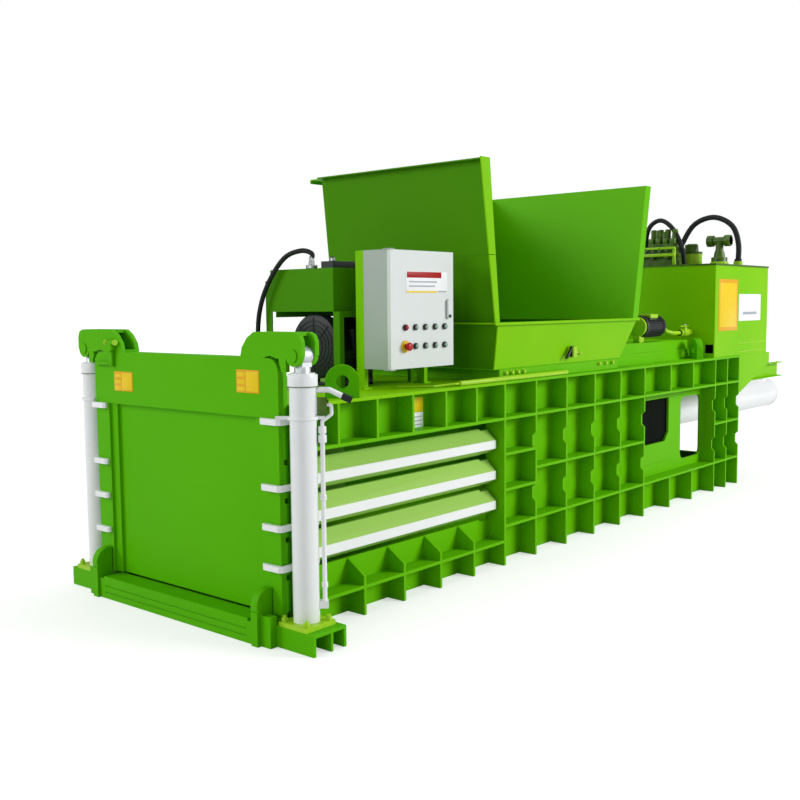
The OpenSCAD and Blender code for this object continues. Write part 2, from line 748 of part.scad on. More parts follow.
module rear_hoses() color("#17191b") {
  z = tank_top + 14;
  r = hose_d / 2;
  run([[5309, -516, z], [5309, -516, z + 250], [5309, -420, z + 398], [5309, -180, z + 408], [5309, 0, z + 204],
    [5309, 40, z + 44], [5309, 40, z]], r, 100);
  run([[4660, -20, z + 100], [4660, -20, z + 290], [4660, -100, z + 352], [4660, -190, z + 340], [4660, -316, z + 172],
    [4660, -345, z + 60], [4660, -345, z]], r - 4, 60);
  for (y = [-516, 40]) rod_z(z, z + 60, 5309, y, r + 7);
  rod_z(z, z + 190, 4800, -20, 10);
}

module rear_motor() color("#26292b") {
  rod_x(3690, 3980, -450, 1290, 78);
  rod_x(3980, 4010, -450, 1290, 60);
  rod_x(3660, 3690, -450, 1290, 70);
  block(3660, 3730, -475, -425, deck + cover_h, 1230);
  block(3760, 3880, -510, -400, 1330, 1380);
}

module ball_valve() color("#9ccf3a") {
  run([[4010, -450, 1312], [4035, -450, 1312], [4110, -458, 1250], [4180, -480, 1232], [4300, -480, 1232]], 15, 24);
  rod_x(4300, 4340, -480, 1232, 24);
  rod_x(4340, 4440, -480, 1232, 30);
  rod_x(4440, 4480, -480, 1232, 24);
  rod_x(4480, tank_x, -480, 1232, 18);
  rod_z(1255, 1275, 4390, -480, 12);
}

module valve_lever() color("#9ccf3a") {
  rod_z(1275.3, 1287, 4390, -480, 16);
  block(4300, 4390, -489, -471, 1277, 1285);
  block(4390, 4450, -489, -471, 1277, 1285);
}

module main_cylinder() color("#f2f3f3") {
  difference() {
    union() {
      rod_x(4900, 7350, 0, main_z, main_od / 2);
      rod_x(4900, 4934, 0, main_z, main_od / 2 + 30);
      rod_x(7350, 7390, 0, main_z, main_od / 2 - 24);
      block(7180, 7270, -45, 45, main_z + 100, main_z + main_od / 2 + 24);
    }
    rod_x(4960, 7320, 0, main_z, main_bore / 2);
    rod_x(4890, 4961, 0, main_z, main_rod_d / 2 + clear);
  }
}

// ---- ram ----

module ram_box() color("#3f8200") {
  x0 = 3223;
  difference() {
    block(x0, x0 + ram_len, -ci + 5, ci - 5, floor_z + 9, under - 12);
    for (z = slot_levels) block(x0 - 1, x0 + 40, -ci, ci, z - slot_h / 2, z + slot_h / 2);
    for (y = [[-ci + 25, -100], [-80, 80], [100, ci - 25]]) for (z = [[floor_z + 29, 530], [550, under - 32]])
      block(x0 + 100, x0 + ram_len - 40, y[0], y[1], z[0], z[1]);
    for (y = [-ci + 60, 140]) block(x0 + ram_len - 41, x0 + ram_len + 1, y, y + ci - 200, 250, 900);
    for (z = [250, 720]) block(x0 + ram_len - 41, x0 + ram_len + 1, -60, 60, z, z + 120);
  }
}

module ram_rod() color("#c8cccd") {
  x1 = 3223 + ram_len;
  rod_x(x1, 7290, 0, main_z, main_rod_d / 2);
  rod_x(7200, 7315, 0, main_z, main_bore / 2 - clear);
  rod_x(x1, x1 + 40, 0, main_z, 130);
}

module ram_shoes() color("#a8742c") both() {
  block(3223, 3223 + ram_len, 380, 520, floor_z + 0.3, floor_z + 9);
}

// ---- wiring ----

module wiring() color("#9ccf3a") {
  rod_x(1288, 2359, -(hw - 16), deck + 14, 14);
  run([[1288, -(hw - 16), deck + 14], [1260, -(hw - 20), deck + 14], [1150, -600, deck + 6], [1006, -470, deck + 6]], 6, 16);
  slab_yz(2388, 2428) polygon([[lip_y(1140), 1140], [-694, 1140], [-694, 1204], [lip_y(1204), 1204]]);
}

place() base_beam();
place() sill_plates();
place() side_guards();
place() front_posts();
place() gate_claws();
place() chamber_roof();
place() floor_plate();
place() floor_ribs();
place() top_panels();
place() rail_bars();
place() foot_panels();
place() press_sides();
place() rear_sides();
place() rear_deck();
place() rear_frame();
place() lift_barrels();
place() lift_bases();
place() lift_pipes();
place() lifting_lugs();
place() hopper_front();
place() hopper_rear();
place() hopper_far();
place() hopper_lip();
place() hopper_base();
place() cabinet_box();
place() cabinet_stand();
place() button_bezels();
place() front_tank();
place() front_lid();
place() front_motor();
place() front_hose();
place() rear_tank();
place() rear_support();
place() rear_valves();
place() rear_hoses();
place() rear_motor();
place() ball_valve();
place() main_cylinder();
place() wiring();
place() gate_panel();
place() gate_header();
place() gate_arms();
place() lift_rods();
place() lift_pins();
place() ram_box();
place() ram_rod();
place() ram_shoes();
place() cabinet_door();
place() door_lock();
place() e_stop();
color("#8a1018") place() push_button(1);  // button_1
color("#1f2a24") place() push_button(2);  // button_2
color("#1f2a24") place() push_button(3);  // button_3
color("#1f2a24") place() push_button(4);  // button_4
color("#1f2a24") place() push_button(5);  // button_5
color("#1f2a24") place() push_button(6);  // button_6
color("#1f2a24") place() push_button(7);  // button_7
color("#1f2a24") place() push_button(8);  // button_8
color("#1f2a24") place() push_button(9);  // button_9
place() valve_lever();
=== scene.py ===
"""Studio scene of a horizontal recycling baler: paint, plates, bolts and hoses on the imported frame."""
import math
import bmesh
import bpy
from bpy.props import FloatProperty, FloatVectorProperty, IntProperty, PointerProperty, StringProperty
from bpy.types import Operator, Panel, PropertyGroup
from mathutils import Matrix, Vector


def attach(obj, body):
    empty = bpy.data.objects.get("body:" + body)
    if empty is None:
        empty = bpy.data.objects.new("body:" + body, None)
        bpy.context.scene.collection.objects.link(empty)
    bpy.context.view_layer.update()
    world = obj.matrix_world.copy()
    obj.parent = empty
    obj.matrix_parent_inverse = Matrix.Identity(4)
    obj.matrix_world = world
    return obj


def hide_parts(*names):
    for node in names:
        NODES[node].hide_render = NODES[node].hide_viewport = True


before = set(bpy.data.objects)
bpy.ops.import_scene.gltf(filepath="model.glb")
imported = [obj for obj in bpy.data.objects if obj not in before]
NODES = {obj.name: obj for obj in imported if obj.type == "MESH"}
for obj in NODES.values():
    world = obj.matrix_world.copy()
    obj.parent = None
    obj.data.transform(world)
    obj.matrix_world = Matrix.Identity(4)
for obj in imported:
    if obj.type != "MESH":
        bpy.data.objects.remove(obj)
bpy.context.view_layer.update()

bl_info = {
    "name": "Recycling baler",
    "version": (1, 0, 0),
    "blender": (4, 5, 0),
    "location": "View3D > Sidebar > Baler",
    "description": "Dresses the packed frame of a recycling baler for a studio picture",
    "category": "Object",
}

# Driving sizes of the machine in millimetres, x from the gate plane, z over the floor
MM = 0.001
X_MID = 3641.5
DECK = 1036
SIDE = 568
GATE_FACE = -12
LIFT_X = 40
LIFT_Y = 778
GLAND_Z = 1127
CAB_Y = -553
BUTTON_X = 978
BUTTON_Z = 1253
BUTTON_STEP = 80
ROW_STEP = 96
LOCK_X = 1329
LOCK_Z = 1402
FRONT_MOTOR_Y = -38
FRONT_MOTOR_Z = 1250
REAR_MOTOR_Y = -450
REAR_MOTOR_Z = 1290
PIPE_Y = -480
PIPE_Z = 1232
VALVE_X = 4390
TANK_Y = -665
TANK_TOP = 1756
FILLER_X = 4900
FILLER_Y = -528
MAIN_Z = 540
MAIN_R = 138.5
RAIL_FACE = 631
WALL_SHADE_EDGE = 671
BUTTONS = ((0, 1), (1, 1), (2, 1), (3, 1), (4, 1), (1, 0), (2, 0), (3, 0), (4, 0))

# Strength of the sky as light, tone of the floor, and its glow near the machine, each from 0 to 1
SKY = 0.32
FLOOR_TONE = 0.6
FLOOR_NEAR = 0.55


def at(x, y, z):
    """A point of the machine, in millimetres from the gate plane, as a point of the frame in metres."""
    return Vector(((x - X_MID) * MM, y * MM, z * MM))


# Colours and materials


def colour(hex_code):
    """An sRGB hex colour as linear RGBA."""
    parts = [int(hex_code[i:i + 2], 16) / 255 for i in (1, 3, 5)]
    return tuple(p / 12.92 if p <= 0.04045 else ((p + 0.055) / 1.055) ** 2.4 for p in parts) + (1.0,)


def node(tree, kind, inputs=None, **settings):
    """Adds one shader node with its settings, and links or sets its inputs."""
    n = tree.nodes.new(kind)
    for key, value in settings.items():
        setattr(n, key, value)
    for key, value in (inputs or {}).items():
        if isinstance(value, bpy.types.NodeSocket):
            tree.links.new(value, n.inputs[key])
        else:
            n.inputs[key].default_value = value
    return n


def surface(name, tone, shade, patch_mm, roughness, metallic=0.0, gleam=0.3, bump_mm=0.0, grain_mm=4.0,
            inner=None, face_mm=0):
    """A sprayed, moulded or turned surface: two close colours in soft patches, uneven gloss and a fine bump.

    With an inner colour, only what lies further out along y than a face keeps the main colours."""
    mat = bpy.data.materials.new(name)
    mat.use_nodes = True
    tree = mat.node_tree
    shader = tree.nodes["Principled BSDF"]
    place = node(tree, "ShaderNodeTexCoord").outputs["Object"]
    patch = node(tree, "ShaderNodeTexNoise", {"Vector": place, "Scale": 1 / (patch_mm * MM), "Detail": 4.0})
    blend = {"Factor": patch.outputs["Fac"], "A": colour(tone), "B": colour(shade)}
    tint = node(tree, "ShaderNodeMix", blend, data_type="RGBA").outputs["Result"]
    # an inner colour is two-tone paint on the rails, and painted shade on the hopper wall and front tank
    if inner:
        across = node(tree, "ShaderNodeSeparateXYZ", {"Vector": place}).outputs["Y"]
        away = node(tree, "ShaderNodeMath", {0: across}, operation="ABSOLUTE").outputs[0]
        face = node(tree, "ShaderNodeMath", {0: away, 1: face_mm * MM}, operation="GREATER_THAN").outputs[0]
        tint = node(tree, "ShaderNodeMix", {"Factor": face, "A": colour(inner), "B": tint}, data_type="RGBA")
        tint = tint.outputs["Result"]
    tree.links.new(tint, shader.inputs["Base Color"])
    spread = {"Value": patch.outputs["Fac"], "To Min": roughness * 0.85, "To Max": roughness * 1.2}
    gloss = node(tree, "ShaderNodeMapRange", spread)
    tree.links.new(gloss.outputs["Result"], shader.inputs["Roughness"])
    if bump_mm:
        fine = {"Vector": place, "Scale": 1 / (grain_mm * MM), "Detail": 2.0}
        grain = node(tree, "ShaderNodeTexNoise", fine)
        relief = {"Height": grain.outputs["Fac"], "Strength": 0.35, "Distance": bump_mm * MM}
        bump = node(tree, "ShaderNodeBump", relief)
        tree.links.new(bump.outputs["Normal"], shader.inputs["Normal"])
    shader.inputs["Metallic"].default_value = metallic
    if not metallic:
        shader.inputs["Specular IOR Level"].default_value = gleam
    return mat


FINISHES = {}


def make_finishes(paint):
    """Every finish of the machine, by a short name."""
    body, shade, sheet, painted_light = paint.body_green, paint.shade_green, paint.sheet_green, paint.painted_light_green
    FINISHES.update({
        # enamel sprayed on welded plate: even satin gloss with a soft orange peel
        "green": surface("sprayed_green_enamel", body, shade, 700, 0.45, gleam=0.06, bump_mm=0.25,
                         grain_mm=9),
        # the same enamel on the gate and the front frame, drawn darker and greener as painted shade for these
        # faces turned from the key light
        "gate": surface("gate_enamel_painted_shade", "#58B400", "#50AA00", 800, 0.45, gleam=0.06, bump_mm=0.25,
                        grain_mm=9),
        # the same enamel on the thin folded sheet of the hopper
        "sheet": surface("sprayed_sheet_enamel", sheet, shade, 900, 0.42, gleam=0.06, bump_mm=0.2,
                         grain_mm=12),
        # enamel on hopper wall and front tank: drawn dark as painted shade out to the wall's face, and bright
        # as painted light on the turned edge past it
        "wall": surface("wall_enamel_painted_shade_and_light", painted_light, body, 900, 0.42, gleam=0.06, bump_mm=0.2, grain_mm=12,
                        inner="#478A00", face_mm=WALL_SHADE_EDGE),
        # the body enamel drawn lighter and yellower as painted light, on deck, tank and loose fittings
        "painted_light": surface("sprayed_enamel_painted_light", painted_light, body, 800, 0.42, gleam=0.06, bump_mm=0.2, grain_mm=9),
        # brushed leaf green on pipes and valves: brighter and less even
        "leaf": surface("brushed_leaf_enamel", "#A9D628", "#8EC40E", 90, 0.36, gleam=0.25, bump_mm=0.3,
                        grain_mm=7),
        # enamel in deep recesses, drawn darker to stand for their shade
        "deep": surface("enamel_painted_recess_shade", "#2F7D06", "#266B04", 500, 0.5, gleam=0.1, bump_mm=0.2,
                        grain_mm=9),
        # white enamel on cylinders and claws: clean gloss with faint grey patches
        "white": surface("sprayed_white_enamel", "#F0F2F2", "#E2E6E7", 260, 0.3, gleam=0.35, bump_mm=0.1,
                         grain_mm=6),
        # sprayed rails: white enamel on the outer face only, green behind it
        "rail": surface("masked_white_enamel", "#F4F6F5", "#E6EAEA", 260, 0.34, gleam=0.25, inner="#A2CE62",
                        face_mm=RAIL_FACE),
        # powder coat baked on the sheet cabinet: fine even grain, soft sheen
        "powder": surface("baked_powder_coat", "#D9DEDC", "#CFD5D3", 300, 0.45, gleam=0.3, bump_mm=0.25,
                          grain_mm=3),
        # the same powder on the cabinet shell, drawn darker than its door as painted shade
        "shell": surface("grey_powder_painted_shade", "#AEB7B2", "#A2ABA6", 300, 0.45, gleam=0.3, bump_mm=0.25,
                         grain_mm=3),
        # black enamel brushed on cast motors: low gloss with a dusty grey lift
        "black": surface("brushed_black_enamel", "#15181A", "#2A2F31", 120, 0.45, bump_mm=0.3, grain_mm=5),
        # dark green enamel on cast valve blocks, mottled with light green patches that are painted
        # reflections
        "valve": surface("valve_enamel_painted_reflections", "#16220E", "#5A8418", 45, 0.36, bump_mm=0.3, grain_mm=5),
        # extruded rubber hose cover: matt black with a fine wrap
        "hose": surface("wrapped_hose_rubber", "#17191A", "#25282A", 50, 0.6, gleam=0.2, bump_mm=0.3,
                        grain_mm=3),
        # hard-chromed and ground rod
        "chrome": surface("ground_chrome", "#E4E7E8", "#D2D6D8", 200, 0.16, metallic=1.0),
        # chromed lift rods, duller than the ram's rod
        "rod": surface("dulled_chrome", "#C9CDCF", "#B8BDC0", 120, 0.42, metallic=0.6),
        # turned and milled bare steel
        "steel": surface("turned_steel", "#A9ADAD", "#8F9494", 60, 0.34, metallic=1.0),
        # bronze shoe with a machined face
        "bronze": surface("machined_bronze", "#A87838", "#8C6430", 80, 0.38, metallic=1.0),
        # moulded glossy plastics of the push buttons
        "red": surface("moulded_red_plastic", "#BE1018", "#A20D14", 30, 0.28),
        "yellow": surface("moulded_yellow_plastic", "#E9C21C", "#DDB512", 30, 0.35),
        "ink": surface("moulded_black_plastic", "#131A17", "#1F2824", 30, 0.35),
        "lens": surface("moulded_green_lens", "#A3B9AD", "#8FA89B", 20, 0.25),
        # printed foil plates in plain colours
        "foil_yellow": surface("printed_yellow_foil", "#EBCB14", "#E2C00E", 40, 0.4, gleam=0.2),
        "foil_orange": surface("printed_orange_foil", "#E3A90F", "#D99C0C", 25, 0.4, gleam=0.2),
        "foil_white": surface("printed_white_foil", "#F2F3F4", "#E6E8EB", 40, 0.4, gleam=0.2),
        "foil_red": surface("printed_red_foil", "#A8080C", "#97070B", 30, 0.4, gleam=0.2),
        "foil_grey": surface("printed_grey_foil", "#A9AFB6", "#9AA1A9", 20, 0.4, gleam=0.2),
        # the ram box, painted near black as the shade it stands in inside the press box: almost no gloss
        "shade_black": surface("primer_painted_shade", "#0A0D0A", "#10150F", 200, 0.85, gleam=0.05),
    })


CAD_FINISH = {
    "green": ["front_posts", "top_panels", "foot_panels", "press_sides", "rear_sides", "hopper_base",
              "floor_plate", "rear_deck"],
    "gate": ["base_beam", "sill_plates", "side_guards", "gate_panel", "gate_header", "gate_arms", "lift_pins",
             "lifting_lugs"],
    "sheet": ["hopper_rear", "hopper_far"],
    "wall": ["hopper_front", "front_tank"],
    "painted_light": ["hopper_lip", "rear_tank", "rear_support", "chamber_roof", "cabinet_stand"],
    "leaf": ["lift_bases", "ball_valve", "valve_lever", "wiring"],
    "deep": ["floor_ribs", "rear_frame"],
    "white": ["gate_claws", "lift_barrels", "lift_pipes", "main_cylinder"],
    "rail": ["rail_bars"],
    "powder": ["cabinet_door", "door_lock"],
    "shell": ["cabinet_box"],
    "black": ["front_lid", "front_motor", "rear_motor"],
    "valve": ["rear_valves"],
    "hose": ["front_hose", "rear_hoses"],
    "chrome": ["ram_rod"],
    "rod": ["lift_rods"],
    "shade_black": ["ram_box"],
    "bronze": ["ram_shoes"],
    "red": ["e_stop", "button_1"],
    "ink": ["button_bezels"],
    "lens": ["button_%d" % i for i in range(2, 10)],
}


def ease_edges(obj, width_mm):
    """Rounds the sharp edges of a CAD node, as grinding and paint do."""
    weld = obj.modifiers.new("weld", "WELD")
    weld.merge_threshold = 0.00002
    bevel = obj.modifiers.new("edge", "BEVEL")
    bevel.width = width_mm * MM
    bevel.segments = 2
    bevel.limit_method = "ANGLE"
    bevel.angle_limit = math.radians(40)
    bevel.use_clamp_overlap = True


# Shapes, all sizes in millimetres


def add_box(bm, low, high, ease=0.0):
    """A block between two corners, with its edges eased."""
    low, high = at(*low), at(*high)
    corners = bmesh.ops.create_cube(bm, size=1)["verts"]
    bmesh.ops.scale(bm, vec=high - low, verts=corners)
    bmesh.ops.translate(bm, vec=(low + high) / 2, verts=corners)
    if not ease:
        return corners
    edges = list(dict.fromkeys(e for v in corners for e in v.link_edges))
    made = bmesh.ops.bevel(bm, geom=edges, offset=ease * MM, affect="EDGES", segments=2, profile=0.5,
                           material=-1)
    return made["verts"]


def add_turned(bm, start, end, outline, sides=40):
    """A turned part: its outline of (way along the axis, radius) spun about the line from start to end."""
    foot = at(*start)
    axis = (at(*end) - foot).normalized()
    side = axis.orthogonal().normalized()
    verts = [bm.verts.new(foot + axis * way * MM + side * radius * MM) for way, radius in outline]
    edges = [bm.edges.new(pair) for pair in zip(verts, verts[1:])]
    bmesh.ops.spin(bm, geom=verts + edges, cent=foot, axis=axis, angle=2 * math.pi, steps=sides,
                   use_merge=True)


def add_rod(bm, start, end, radius, ease=1.0, sides=32):
    """A round bar with eased rims."""
    length = math.dist(start, end)
    add_turned(bm, start, end, ((0, 0), (0, radius - ease), (ease, radius), (length - ease, radius),
                                (length, radius - ease), (length, 0)), sides)


def add_ring(bm, start, end, outer, inner, sides=40):
    """A plain ring or sleeve."""
    length = math.dist(start, end)
    rim = min(1.0, length / 4)
    add_turned(bm, start, end, ((0, inner), (0, outer - rim), (rim, outer), (length - rim, outer),
                                (length, outer - rim), (length, inner), (0, inner)), sides)


def add_bolt(bm, seat, tip, across=12.0):
    """A hexagon bolt head on its washer, from its seat to its tip."""
    add_rod(bm, seat, [s + (t - s) * 0.2 for s, t in zip(seat, tip)], across * 1.25, 0.5, 20)
    add_turned(bm, seat, tip, ((0, across), (math.dist(seat, tip) * 0.85, across),
                               (math.dist(seat, tip), across * 0.82), (math.dist(seat, tip), 0)), 6)


def smooth_way(points, steps=8):
    """More points on a smooth curve through the given ones."""
    chain = [points[0] * 2 - points[1], *points, points[-1] * 2 - points[-2]]
    way = []
    for a, b, c, d in zip(chain, chain[1:], chain[2:], chain[3:]):
        for i in range(steps):
            t = i / steps
            way.append(b + (c - a) * (t / 2) + (a * 2 - b * 5 + c * 4 - d) * (t * t / 2)
                       + (b * 3 - a - c * 3 + d) * (t ** 3 / 2))
    return way + [points[-1]]


def add_tube(bm, points, radius, sides=16):
    """A hose or pipe on a smooth curve through points."""
    way = smooth_way([at(*p) for p in points])
    heading = [(q - p).normalized() for p, q in zip(way, way[1:])]
    start = Matrix.Translation(way[0]) @ heading[0].to_track_quat("Z", "Y").to_matrix().to_4x4()
    made = bmesh.ops.create_circle(bm, cap_ends=True, segments=sides, radius=radius * MM, matrix=start)
    end = made["verts"][0].link_faces[0]
    for i in range(1, len(way)):
        made = bmesh.ops.extrude_face_region(bm, geom=[end])["geom"]
        end = next(g for g in made if isinstance(g, bmesh.types.BMFace))
        if i < len(heading):
            turn = heading[i - 1].rotation_difference(heading[i]).to_matrix()
            bmesh.ops.rotate(bm, cent=way[i - 1], matrix=turn, verts=end.verts)
        bmesh.ops.translate(bm, vec=way[i] - way[i - 1], verts=end.verts)


def piece(name, bm, finish, body, replaces=()):
    """Turns a finished bmesh into a piece that rides on a body."""
    bmesh.ops.remove_doubles(bm, verts=bm.verts, dist=0.00001)
    bmesh.ops.recalc_face_normals(bm, faces=bm.faces)
    mesh = bpy.data.meshes.new(name)
    bm.to_mesh(mesh)
    bm.free()
    mesh.shade_smooth()
    mesh.set_sharp_from_angle(angle=math.radians(35))
    mesh.materials.append(FINISHES[finish])
    obj = bpy.data.objects.new(name, mesh)
    bpy.context.scene.collection.objects.link(obj)
    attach(obj, body)
    if replaces:
        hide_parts(*replaces)
    return obj


def plate(name, finish, body, low, high):
    """A thin printed plate or a field on one."""
    bm = bmesh.new()
    add_box(bm, low, high, 0.3)
    return piece(name, bm, finish, body)


# Settings


class BALER_PG_paint(PropertyGroup):
    """Paint colours of the machine."""

    body_green: StringProperty(name="Body green", description="Enamel on the welded body",
                               default="#68BC00")
    shade_green: StringProperty(name="Shade green", description="Second tone of the body enamel",
                                default="#5EB200")
    sheet_green: StringProperty(name="Sheet green", description="Enamel on the hopper sheet",
                                default="#62BA00")
    # painted light: the body green drawn lighter and yellower for the lit deck, tank and fittings
    painted_light_green: StringProperty(name="Lime green", description="Yellower enamel on deck and tank",
                               default="#8AC800")
    edge_radius: FloatProperty(name="Edge radius", description="Eased edge of plates in millimetres",
                               default=2.0, min=0.0, max=6.0)


class BALER_PG_view(PropertyGroup):
    """Camera of the photograph."""

    place: FloatVectorProperty(name="Camera place", description="Camera position in millimetres",
                               default=(-2901.4, -3825.1, 1462.1))
    yaw: FloatProperty(name="Yaw", description="Camera heading in degrees", default=40.463)
    pitch: FloatProperty(name="Pitch", description="Camera pitch in degrees", default=-5.396)
    roll: FloatProperty(name="Roll", description="Camera roll in degrees", default=-0.541)
    lens: FloatProperty(name="Lens", description="Focal length", default=45.225, unit="CAMERA")


class BALER_PG_parts(PropertyGroup):
    """Sizes of the fittings that dress the frame."""

    bolt_across: FloatProperty(name="Bolt head", description="Half width of a bolt head in millimetres",
                               default=12.0)
    motor_fins: IntProperty(name="Motor fins", description="Cooling fins around a motor", default=36, min=4)
    foil: FloatProperty(name="Foil", description="Thickness of a printed plate in millimetres", default=1.5)


# Operators


class BALER_OT_paint_frame(Operator):
    """Paint every CAD node of the machine"""

    bl_idname = "baler.paint_frame"
    bl_label = "Paint frame"

    def execute(self, context):
        settings = context.scene.baler_paint
        make_finishes(settings)
        for finish, names in CAD_FINISH.items():
            for name in names:
                obj = NODES[name]
                obj.data.materials.clear()
                obj.data.materials.append(FINISHES[finish])
                ease_edges(obj, settings.edge_radius if finish in ("green", "gate", "painted_light", "white") else 1.0)
        return {"FINISHED"}


class BALER_OT_gate_plates(Operator):
    """Put the two plain yellow plates on the gate header and the latch on its far end"""

    bl_idname = "baler.gate_plates"
    bl_label = "Gate plates"

    def execute(self, context):
        face = GATE_FACE - context.scene.baler_parts.foil
        for side, y0, y1, z0, z1 in (("far", 360, 515, 1050, 1147), ("near", -566, -416, 1087, 1188)):
            plate("gate_plate_" + side, "foil_orange", "gate", (face, y0, z0), (GATE_FACE, y1, z1))
            middle = y0 + (y1 - y0) * 0.62
            inset = 7
            plate("gate_field_" + side, "foil_yellow", "gate", (face - 0.5, y0 + inset, z0 + inset),
                  (face, middle - inset, z1 - inset))
            for row in range(3):
                low = z0 + inset + row * (z1 - z0 - inset) / 3
                plate("gate_bar_%s_%d" % (side, row), "foil_yellow", "gate", (face - 0.5, middle, low),
                      (face, y1 - inset, low + (z1 - z0) / 3 - 2 * inset))
        bm = bmesh.new()
        add_box(bm, (-32, 504, 1172), (GATE_FACE, 530, 1262), 6)
        add_rod(bm, (-40, 517, 1268), (GATE_FACE, 517, 1268), 26, 4)
        add_rod(bm, (-30, 470, 1290), (-30, 548, 1290), 11, 3)
        add_rod(bm, (-26, 517, 1186), (-26, 650, 1184), 9, 2)
        piece("gate_latch", bm, "gate", "gate")
        bm = bmesh.new()
        for y in (466, 540):
            add_rod(bm, (-30, y, 1290), (-30, y + 14, 1290), 15, 4)
        piece("latch_knobs", bm, "leaf", "gate")
        return {"FINISHED"}


class BALER_OT_side_plates(Operator):
    """Put the plain plates on the chamber side and the rear tank, and the tank's weld beads"""

    bl_idname = "baler.side_plates"
    bl_label = "Side plates"

    def execute(self, context):
        foil = context.scene.baler_parts.foil
        side = -SIDE - foil
        plate("side_plate_top", "foil_yellow", "frame", (1003, side, 916), (1098, -SIDE, 991))
        plate("side_plate_low", "foil_white", "frame", (1003, side, 834), (1098, -SIDE, 914))
        for row in range(3):
            low = 848 + row * 20
            plate("side_line_%d" % row, "foil_grey", "frame", (1014, side - 0.4, low), (1086, side, low + 6))
        tank = TANK_Y - foil
        plate("tank_plate_yellow", "foil_orange", "frame", (4578, tank, 1239), (4950, TANK_Y, 1638))
        plate("tank_field_yellow", "foil_yellow", "frame", (4606, tank - 0.5, 1268), (4922, tank, 1609))
        plate("tank_plate_white", "foil_white", "frame", (4974, tank, 1310), (5432, TANK_Y, 1524))
        plate("tank_field_grey", "foil_grey", "frame", (5060, tank - 0.5, 1360), (5346, tank, 1382))
        bm = bmesh.new()
        for z in (1063, 1132):
            seam = ((4996, TANK_Y, z), (5200, TANK_Y - 0.6, z), (5400, TANK_Y, z), (5578, TANK_Y - 0.4, z))
            add_tube(bm, seam, 3.5, 8)
        piece("tank_weld_beads", bm, "leaf", "frame")
        return {"FINISHED"}


class BALER_OT_cabinet_face(Operator):
    """Put the plain foil with its colour fields on the cabinet door, and the keyhole in its lock"""

    bl_idname = "baler.cabinet_face"
    bl_label = "Cabinet face"

    def execute(self, context):
        foil = context.scene.baler_parts.foil
        face = CAB_Y - foil
        plate("door_foil", "foil_white", "door", (989, face, 1522), (1326, CAB_Y, 1632))
        plate("door_band", "foil_red", "door", (995, face - 0.5, 1600), (1276, face, 1630))
        plate("door_edge", "foil_yellow", "door", (992, face - 0.5, 1524), (1240, face, 1533))
        for row, right in enumerate((1238, 1222)):
            low = 1576 - row * 22
            plate("door_line_%d" % row, "foil_grey", "door", (1012, face - 0.5, low), (right, face, low + 7))
        plate("door_corner", "foil_grey", "door", (1246, face - 0.5, 1526), (1320, face, 1534))
        bm = bmesh.new()
        add_rod(bm, (LOCK_X, CAB_Y - 17, LOCK_Z), (LOCK_X, CAB_Y - 21, LOCK_Z), 9)
        piece("lock_keyhole", bm, "ink", "lock")
        return {"FINISHED"}


class BALER_OT_controls(Operator):
    """Make the collars and domed caps of the push buttons and the stop button's yellow ring"""

    bl_idname = "baler.controls"
    bl_label = "Controls"

    def execute(self, context):
        for i, (column, row) in enumerate(BUTTONS):
            x = BUTTON_X + column * BUTTON_STEP
            z = BUTTON_Z + row * ROW_STEP
            bm = bmesh.new()
            add_ring(bm, (x, CAB_Y - 5, z), (x, CAB_Y - 11, z), 16, 11.4)
            piece("button_collar_%d" % (i + 1), bm, "ink", "door")
            bm = bmesh.new()
            dome = [(0, 0), (0, 10.6), (8, 10.6)]
            dome += [(8 + 5 * math.sin(a), 10.6 * math.cos(a)) for a in (0.4, 0.8, 1.2)] + [(13, 0)]
            add_turned(bm, (x, CAB_Y - 9, z), (x, CAB_Y - 22, z), dome, 32)
            piece("button_cap_%d" % (i + 1), bm, "red" if i == 0 else "lens", "push_%d" % (i + 1))
        x, z = BUTTON_X, BUTTON_Z
        bm = bmesh.new()
        add_ring(bm, (x, CAB_Y, z), (x, CAB_Y - 8, z), 31, 12)
        piece("stop_ring", bm, "yellow", "door")
        bm = bmesh.new()
        head = [(0, 0), (0, 11), (13, 11), (16, 19), (19, 21), (29, 21), (33, 18), (35, 12), (36, 0)]
        add_turned(bm, (x, CAB_Y - 5, z), (x, CAB_Y - 41, z), head, 40)
        piece("stop_head", bm, "red", "stop_button", ["e_stop"])
        return {"FINISHED"}


class BALER_OT_lift_fittings(Operator):
    """Make the seam rings, valve blocks, hose ends and clips of the lift cylinders"""

    bl_idname = "baler.lift_fittings"
    bl_label = "Lift fittings"

    def execute(self, context):
        for side, sign in (("near", -1), ("far", 1)):
            y = sign * LIFT_Y
            bm = bmesh.new()
            add_ring(bm, (LIFT_X, y, GLAND_Z - 3), (LIFT_X, y, GLAND_Z + 1), 64.6, 57)
            piece("gland_seam_" + side, bm, "valve", "frame")
            turn = Matrix.Rotation(math.radians(50 * sign), 3, "Z")
            bm = bmesh.new()
            add_box(bm, (LIFT_X + 60, y - 17, GLAND_Z - 120), (LIFT_X + 101, y + 17, GLAND_Z - 50), 3)
            add_rod(bm, (LIFT_X + 101, y, GLAND_Z - 66), (LIFT_X + 108, y, GLAND_Z - 66), 9)
            bmesh.ops.rotate(bm, cent=at(LIFT_X, y, 0), matrix=turn, verts=bm.verts)
            piece("lock_valve_" + side, bm, "valve", "frame")
            bm = bmesh.new()
            add_rod(bm, (LIFT_X + 166, y, GLAND_Z - 43.1), (LIFT_X + 206, y, GLAND_Z - 62.5), 15.5, 2)
            bmesh.ops.rotate(bm, cent=at(LIFT_X, y, 0), matrix=turn, verts=bm.verts)
            piece("lift_hose_end_" + side, bm, "hose", "frame")
            bm = bmesh.new()
            for z in (262, 640):
                add_ring(bm, (LIFT_X + 80, y, z), (LIFT_X + 80, y, z + 22), 14, 9)
            bmesh.ops.rotate(bm, cent=at(LIFT_X, y, 0), matrix=turn, verts=bm.verts)
            piece("pipe_clips_" + side, bm, "white", "frame")
        return {"FINISHED"}


